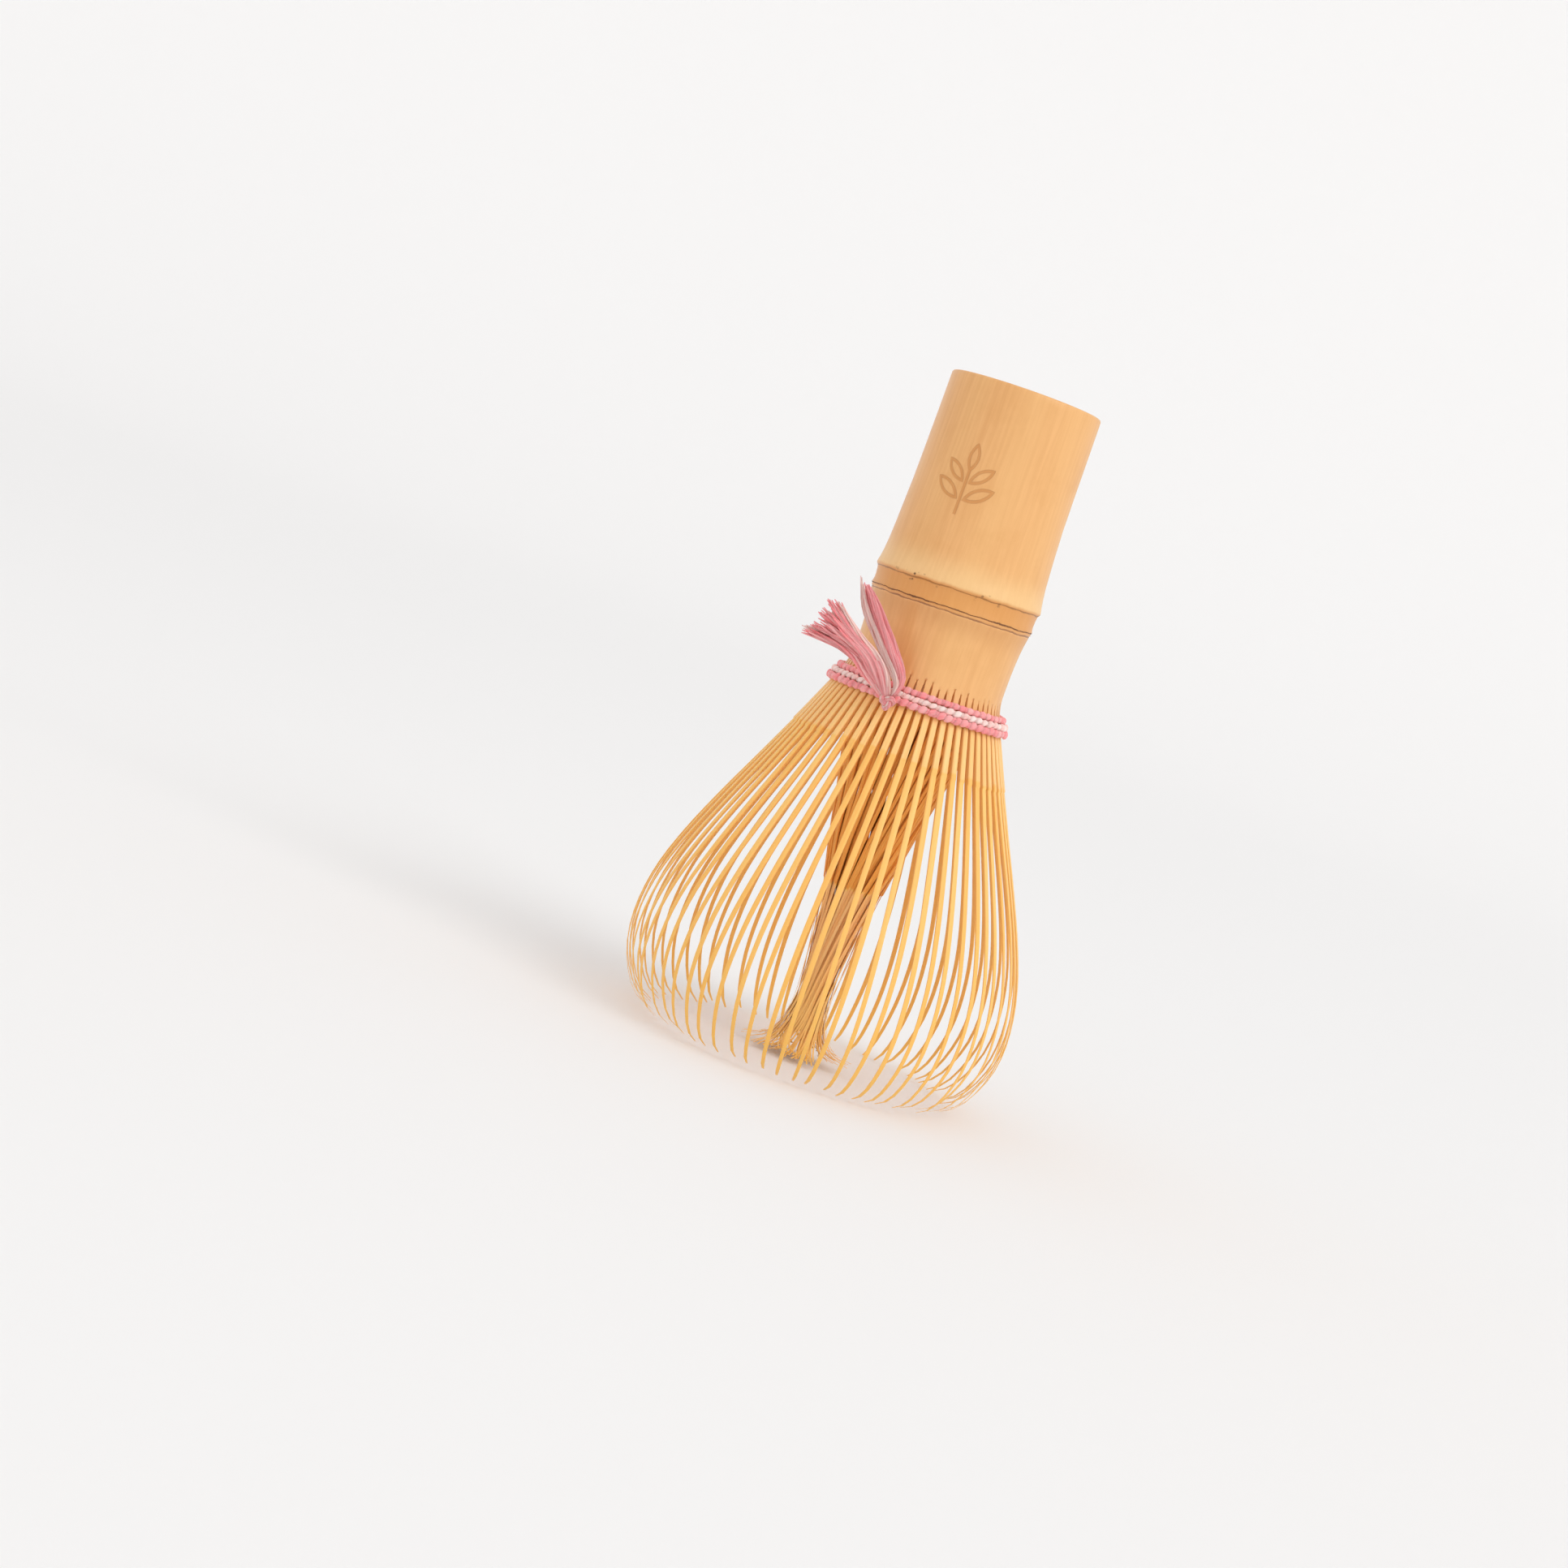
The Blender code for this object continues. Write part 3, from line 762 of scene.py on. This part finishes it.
def inner_split(number, stock, material):
    """The fine inner tines of one split, twisted into the sheaf and hooked out at their tips."""
    chance = random.Random(300 + number)
    shape = new_shape()
    layers = grain_and_tone(shape)
    line = Line(INNER_LINE)
    widths = [(0, 0.62), (0.2, 0.58), (0.545, 0.46), (0.56, 0.4), (0.8, 0.34), (1, 0.24)]
    thicknesses = [(0, 0.4), (0.5, 0.3), (0.56, 0.2), (0.8, 0.16), (1, 0.1)]

    def width_at(share):
        return between(widths, share) * MM

    def thick_at(share):
        return between(thicknesses, share) * MM

    # The tines of one split flare, curl and lift together, as one lock.
    lock_flare = chance.uniform(-2.6, 0.2)
    lock_curl = chance.uniform(-0.5, 1.0)
    lock_lift = chance.uniform(-0.2, 1.3)
    for i in range(INNER_PER_SPLIT):
        place_in_split = (i - (INNER_PER_SPLIT - 1) / 2) / INNER_PER_SPLIT
        angle = math.tau * (number + 0.5 + place_in_split) / SPLITS
        lean = chance.uniform(-1, 1) * 0.06
        layer = (0.15 + 0.55 * ((i + number) % 2) + chance.uniform(-0.12, 0.12)) * MM
        core = i % 3 == 1  # One tine in three fills the middle of the sheaf.
        gather = (chance.uniform(1.2, 2.6) if core else chance.uniform(0.0, 1.0)) * MM
        flare = (min(lock_flare + chance.uniform(-0.8, 0.4), 0.3) - (2.0 if core else 0.0)) * MM
        curl = lock_curl + chance.uniform(-0.2, 0.2)
        lift = (lock_lift + chance.uniform(-0.4, 0.4)) * MM

        def angle_at(share, angle=angle, lean=lean, curl=curl):
            turned = INNER_TWIST * max(share - 0.045, 0.0) ** 2
            leaned = lean * math.sin(math.pi * share)
            return angle + turned + leaned + curl * max(share - 0.86, 0.0) ** 2 * 40

        def extra(share, layer=layer, gather=gather, flare=flare, lift=lift):
            waist = max(math.sin(math.pi * share**1.6), 0.0) ** 4
            inner = layer * min(share * 6, 1.0) + gather * waist
            tip = max(share - 0.84, 0.0) / 0.16
            return Vector((flare * tip**2 - inner * (1 - tip), lift * tip**2))

        verts = add_stock(shape, stock)
        tone = chance.random()
        bend_tine(verts, layers, line, INNER_STEP, angle_at, width_at, thick_at, extra, tone)
    name = f"inner_split_{number + 1:02d}"
    node = f"inner_tines_{number + 1:02d}"
    piece = finish_piece(name, shape, [material], "root", [node])
    piece.data.set_sharp_from_angle(angle=math.radians(35))


# The thread.


def course_of(node):
    """Radius of the middle of a thread course, and its height."""
    low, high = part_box(node)
    half = (high.z - low.z) / 2
    return high.x - half, (low.z + high.z) / 2


def thread_beads(shape, stock, count, start, radius, height, size, slant, slot, tones, chance):
    """A ring of short bulging stitches, one for each tine or gap."""
    grain, tone = grain_and_tone(shape)
    for k in range(count):
        angle = start + math.tau * k / count + chance.uniform(-0.012, 0.012)
        lean = Quaternion((1, 0, 0), slant + chance.uniform(-0.15, 0.15))
        grow = chance.uniform(0.9, 1.1)
        level = chance.uniform(*tones)
        lift = chance.uniform(-0.06, 0.06) * MM
        for vert in add_stock(shape, stock, slot):
            swollen = vert.co * Vector(size)
            vert[grain] = Vector((swollen.x + k * MM, swollen.z, swollen.y)) * grow
            vert[tone] = level
            spot = lean @ swollen * grow
            spot += Vector((radius, 0, height + lift))
            vert.co = Matrix.Rotation(angle, 3, "Z") @ spot


def bead_stock():
    """A small round stitch of a few dozen faces."""
    shape = bmesh.new()
    bmesh.ops.create_uvsphere(shape, u_segments=10, v_segments=6, radius=1.0)
    return as_stock(shape, "bead_stock")


def make_courses(pink, pale):
    """The three courses that show: pink stitches above and below a pale twisted row."""
    chance = random.Random(7)
    stock = bead_stock()
    rows = (
        ("thread_upper", "thread_upper_course", (0.48, 0.7, 0.54), 0.3, 0, (0.15, 0.75), -0.04),
        ("thread_middle", "thread_middle_course", (0.52, 0.78, 0.5), 0.5, 1, (0.45, 1.0), 0.08),
        ("thread_lower", "thread_lower_course", (0.44, 0.78, 0.54), 0.5, 0, (0.15, 0.8), 0.08),
    )
    for name, node, size, slant, slot, tones, proud in rows:
        radius, height = course_of(node)
        shape = new_shape()
        size = [part * MM for part in size]
        under = [part * 0.85 for part in size]
        radius += proud * MM
        start = chance.uniform(0, PITCH)
        thread_beads(shape, stock, TINES, start, radius, height, size, slant, slot, tones, chance)
        # A second, smaller ring sits a little deeper in the gaps between the stitches; its low
        # tones paint shade into those gaps.
        thread_beads(
            shape, stock, TINES, start + PITCH / 2, radius - 0.1 * MM, height,
            under, slant * 0.6, slot, (0.0, 0.3), chance,
        )
        finish_piece(name, shape, [pink, pale], "root", [node])


def square_to(heading):
    """Two directions square to the way that a strand runs."""
    side = heading.cross(STRAND_SIDE).normalized()
    return side, heading.cross(side)


def bend_fibre(verts, layers, points, radii, tone):
    """Bends a straight fibre to a list of points, one for each of its rings."""
    grain, tone_layer = layers
    last = len(points) - 1
    for vert in verts:
        i = round(vert.co.z * last)
        heading = (points[min(i + 1, last)] - points[max(i - 1, 0)]).normalized()
        side, up = square_to(heading)
        x, y = vert.co.xy * between(radii, i / last) * MM
        vert[grain] = Vector((x + tone * 31 * MM, y, i * 1.2 * MM))
        vert[tone_layer] = tone
        vert.co = points[i] + side * x + up * y


def add_ply(shape, stock, rings, route, fibres, thickness, fray, slot, tones, chance):
    """One ply of a thread end: fibres that lie together at the knot and part towards their tips."""
    layers = grain_and_tone(shape)
    line = Line(route)
    for _ in range(fibres):
        bearing = chance.uniform(0, math.tau)
        out = math.sqrt(chance.random())
        turns = chance.uniform(0.6, 1.3)
        length = chance.uniform(0.86, 1.0)
        wander = Vector([chance.uniform(-1, 1) for _ in range(3)]) * fray
        points = []
        for i in range(rings):
            share = i / (rings - 1)
            spot = line.place(share * length)
            side, up = square_to(line.heading(share * length))
            angle = bearing + turns * math.tau * share * 0.6
            wide = out * between(thickness, share) * MM
            spot += side * (math.cos(angle) * wide) + up * (math.sin(angle) * wide)
            points.append(spot + wander * share**5 * MM)
        verts = add_stock(shape, stock, slot)
        bend_fibre(verts, layers, points, FIBRE_RADII, chance.uniform(*tones))


def make_tassels(pink, pale):
    """The two frayed ends: one spreads to the side, the other stands up beside the culm."""
    chance = random.Random(21)
    rings = 15
    stock = round_stock(5, rings - 2)
    foot = KNOT / MM

    def ply(shape, points, lean, fibres, thickness, fray, slot, tones):
        route = [Vector((foot.x + points[0][0], foot.y + 0.6, foot.z + 0.3 + points[0][1]))]
        for i, (x, z) in enumerate(points[1:]):
            route.append(Vector((x, foot.y - 0.3 + lean * (0.6 + 0.5 * i), z)))
        add_ply(shape, stock, rings, route, fibres, thickness, fray, slot, tones, chance)

    side = new_shape()
    low_route = ((-9.2, 60.4), (-11.4, 61.9), (-14.6, 62.8))
    high_route = ((-6.0, 61.2), (-8.1, 63.2), (-10.9, 64.8))
    tips = (
        ((-19.8, 63.1), 0.0, 0, 0.0), ((-20.0, 63.7), 0.14, 1, 0.5),
        ((-19.2, 64.3), 0.26, 0, 0.3), ((-18.9, 64.8), 0.38, 0, -0.3),
        ((-16.8, 65.2), 0.5, 0, -0.6), ((-18.5, 66.3), 0.6, 0, 0.1),
        ((-18.0, 67.2), 0.7, 0, -0.4), ((-17.2, 67.6), 0.78, 1, 0.4),
        ((-17.4, 68.6), 0.86, 0, -0.2), ((-16.6, 68.9), 0.95, 0, 0.3),
        ((-16.2, 68.7), 1.0, 1, 0.0),
    )
    taper = [(0, 0.42), (0.25, 0.46), (0.7, 0.36), (0.9, 0.34), (1, 0.5)]
    for tip, share, slot, lean in tips:
        passes = []
        for (low_x, low_z), (high_x, high_z) in zip(low_route, high_route):
            passes.append((low_x + (high_x - low_x) * share, low_z + (high_z - low_z) * share))
        tones = (0.1, 0.7) if slot == 0 else (0.2, 0.7)
        ply(side, ((-0.6 + share * 0.5, 0.3), *passes, tip), lean, 20, taper, 0.3, slot, tones)
    finish_piece("tassel_side_tuft", side, [pink, pale], "root", ["tassel_side"])

    upright = new_shape()
    slim = [(0, 0.3), (0.3, 0.24), (0.8, 0.2), (1, 0.1)]
    broad = [(0, 0.4), (0.35, 0.42), (0.8, 0.34), (1, 0.2)]
    bows = (
        (((-3.9, 60.1), (-8.0, 64.3), (-12.2, 69.2), (-14.1, 73.5)), 0.2, 1, slim),
        (((-3.8, 60.3), (-7.5, 64.5), (-11.7, 69.3), (-13.8, 72.9)), -0.2, 1, slim),
        (((-3.7, 60.7), (-6.8, 64.4), (-10.6, 69.0), (-13.4, 72.7)), 0.1, 0, broad),
        (((-3.4, 60.9), (-6.2, 64.6), (-9.9, 69.1), (-13.0, 72.9)), -0.3, 0, broad),
        (((-3.2, 61.2), (-5.6, 64.8), (-9.4, 69.3), (-12.6, 72.6)), 0.3, 0, broad),
    )
    for passes, lean, slot, thickness in bows:
        tones = (0.05, 0.45) if slot == 0 else (0.0, 0.5)
        ply(upright, ((0.3, 0.5), *passes), lean, 16, thickness, 0.12, slot, tones)
    finish_piece(
        "tassel_upright_tuft", upright, [pink, pale], "root", ["tassel_upright"],
    )


def make_knot(pink, pale):
    """The overhand knot, tied in five plies of thread."""
    shape = new_shape()
    layers = grain_and_tone(shape)
    rings = 49
    stock = round_stock(6, rings - 2)
    facing = Vector((KNOT.x, KNOT.y, 0)).to_track_quat("Z", "Y")
    for ply in range(KNOT_PLIES):
        shift = Quaternion((0, 0, 1), math.tau * ply / KNOT_PLIES) @ Vector((0.16, 0, 0))
        points = []
        for i in range(rings):
            t = math.tau * i / (rings - 1)
            loop = Vector((
                math.sin(t) + 2 * math.sin(2 * t),
                math.cos(t) - 2 * math.cos(2 * t),
                -1.1 * math.sin(3 * t),
            ))
            points.append(KNOT + facing @ ((loop * KNOT_SCALE + shift) * MM))
        verts = add_stock(shape, stock, 1 if ply == 2 else 0)
        bend_fibre(verts, layers, points, KNOT_RADII, 0.2 + ply / 10)
    finish_piece("knot", shape, [pink, pale], "root", ["thread_knot"])


def make_inner_course(pink):
    """The course between the two rings of tines, laid up of three plies."""
    radius, height = course_of("thread_inner_course")
    shape = new_shape()
    layers = grain_and_tone(shape)
    rings = 241
    stock = round_stock(6, rings - 2)
    for ply in range(INNER_PLIES):
        points = []
        for i in range(rings):
            share = i / (rings - 1)
            angle = math.tau * share
            turn = angle * INNER_PLY_TURNS + math.tau * ply / INNER_PLIES
            round_course = Vector((math.cos(turn), 0, math.sin(turn))) * INNER_PLY_REACH
            spot = Vector((radius, 0, height)) + round_course
            points.append(Matrix.Rotation(angle, 3, "Z") @ spot)
        bend_fibre(add_stock(shape, stock), layers, points, INNER_RADII, 0.2 + 0.2 * ply)
    bmesh.ops.remove_doubles(shape, verts=shape.verts, dist=0.001 * MM)
    finish_piece("thread_inner", shape, [pink], "root", ["thread_inner_course"])


# The studio.


def make_floor():
    """A wide pale floor at the height of the tine tips, turning up all round without an edge."""
    shape = bmesh.new()
    section = [shape.verts.new((0, 0, 0)), shape.verts.new((0.8, 0, 0))]
    for step in range(COVE_STEPS + 1):
        turn = math.radians(88) * step / COVE_STEPS
        out = FLOOR_FLAT + COVE_RADIUS * math.sin(turn)
        up = COVE_RADIUS - COVE_RADIUS * math.cos(turn)
        section.append(shape.verts.new((out, 0, up)))
    edges = [shape.edges.new(pair) for pair in zip(section, section[1:])]
    bmesh.ops.spin(
        shape, geom=section + edges, cent=(0, 0, 0), axis=(0, 0, 1), angle=math.tau,
        steps=96, use_merge=True,
    )
    bmesh.ops.remove_doubles(shape, verts=shape.verts, dist=MM)
    for face in shape.faces:
        face.smooth = True
        if face.normal.z < 0:
            face.normal_flip()
    mesh = bpy.data.meshes.new("floor")
    shape.to_mesh(mesh)
    shape.free()
    floor = bpy.data.objects.new("floor", mesh)
    bpy.context.scene.collection.objects.link(floor)
    material, tree, shader = new_material("floor paper", specular=0.1)
    tree.feed(shader.inputs["Base Color"], tint(244, 243, 242))
    shader.inputs["Roughness"].default_value = 0.9
    away = tree.vector("LENGTH", tree.add("TexCoord").outputs["Object"])
    shader.inputs["Emission Color"].default_value = tint(250, 250, 250)
    tree.feed(shader.inputs["Emission Strength"], tree.ramp(away, 0.3, 2.6, 0.0, FLOOR_GLOW))
    mesh.materials.append(material)


def make_lights():
    """A bright even room and one large soft box, high up on the right."""
    world = bpy.data.worlds.new("studio")
    world.use_nodes = True
    backdrop = world.node_tree.nodes["Background"]
    backdrop.inputs["Color"].default_value = tint(254, 254, 255)
    backdrop.inputs["Strength"].default_value = ROOM_LIGHT
    bpy.context.scene.world = world
    bpy.context.scene.view_settings.view_transform = "Standard"
    light = bpy.data.lights.new("key", "AREA")
    light.shape = "RECTANGLE"
    light.size, light.size_y = KEY_SIZE
    light.energy = KEY_POWER
    light.color = KEY_COLOUR
    lamp = bpy.data.objects.new("key", light)
    lamp.location = KEY_PLACE
    whisk_middle = Vector((0, 0, 0.06))
    lamp.rotation_euler = (whisk_middle - KEY_PLACE).to_track_quat("-Z", "Y").to_euler()
    bpy.context.scene.collection.objects.link(lamp)


def make_camera():
    """The camera, a little above the thread and rolled so that the whisk leans to the right."""
    camera = bpy.data.objects.new("camera", bpy.data.cameras.new("camera"))
    camera.data.lens = CAMERA_LENS
    camera.data.sensor_width = 36
    camera.data.clip_start = 0.01
    facing = (CAMERA_TARGET - CAMERA_PLACE).to_track_quat("-Z", "Y")
    camera.rotation_mode = "QUATERNION"
    camera.rotation_quaternion = facing @ Quaternion((0, 0, 1), CAMERA_ROLL)
    camera.location = CAMERA_PLACE
    bpy.context.scene.collection.objects.link(camera)
    bpy.context.scene.camera = camera


def main():
    make_camera()
    make_lights()
    make_floor()

    fibre = fibre_group()
    ring_line = ring_line_group()
    sprig = sprig_group()
    skin = culm_skin(fibre, ring_line, sprig)
    outer = tine_finish(
        fibre, "outer tine",
        skin=(tint(250, 196, 122), tint(255, 209, 140)),
        shaved=(tint(248, 186, 98), tint(254, 198, 112), tint(255, 208, 128)),
        # The edge colour is painted shade for the cut sides.
        edge=tint(234, 166, 92),
        tip=tint(250, 192, 102),
        step=SKIN_STEP * TINE_LENGTH,
        rough=0.36,
    )
    inner = tine_finish(
        fibre, "inner tine",
        skin=(tint(238, 156, 66), tint(250, 182, 92)),
        shaved=(tint(252, 178, 108), tint(255, 198, 130), tint(255, 208, 138)),
        # The edge colour is painted shade for the cut sides.
        edge=tint(238, 152, 76),
        tip=tint(255, 204, 112),
        step=INNER_STEP * INNER_LENGTH,
        rough=0.45,
    )
    pink = thread_finish(
        "pink thread", tint(252, 138, 142), tint(255, 160, 162), tint(255, 198, 195),
    )
    pale = thread_finish(
        "pale thread", tint(253, 188, 180), tint(255, 208, 200), tint(255, 232, 226),
    )

    make_culm([skin, cut_end(), bore_wall(fibre)])
    stock = flat_stock(30)
    for number in range(SPLITS):
        outer_split(number, stock, outer)
        inner_split(number, stock, inner)
    make_courses(pink, pale)
    make_inner_course(pink)
    make_knot(pink, pale)
    make_tassels(pink, pale)
    for leftover in [mesh for mesh in bpy.data.meshes if mesh.users == 0]:
        bpy.data.meshes.remove(leftover)


main()
